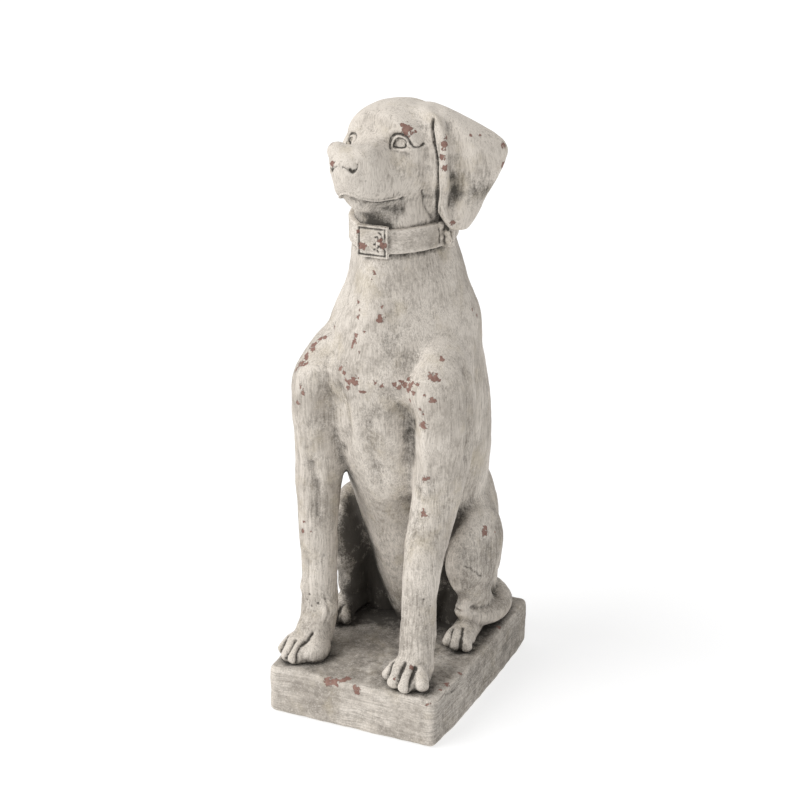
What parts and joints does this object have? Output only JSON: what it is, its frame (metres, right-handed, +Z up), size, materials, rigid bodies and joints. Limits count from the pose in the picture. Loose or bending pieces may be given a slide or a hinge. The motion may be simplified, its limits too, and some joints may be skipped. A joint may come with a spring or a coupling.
{
  "type": "garden dog statue",
  "caption": "Seated smooth-coated hound statue with drooping ears and a buckled collar, cast in one with a low rectangular plinth.",
  "frame": {"origin": "middle of the plinth's underside", "axes": "+Z up, the dog looks along -Y, its left side is +X"},
  "size_m": [0.2421, 0.3152, 0.7763],
  "materials": {
    "dog_statue": "matt limewash brushed over cast stone, with dark wash in the recesses and small chips showing a brown body"
  },
  "bodies": {
    "root": {"dog_statue": "dog_statue"}
  },
  "joints": []
}
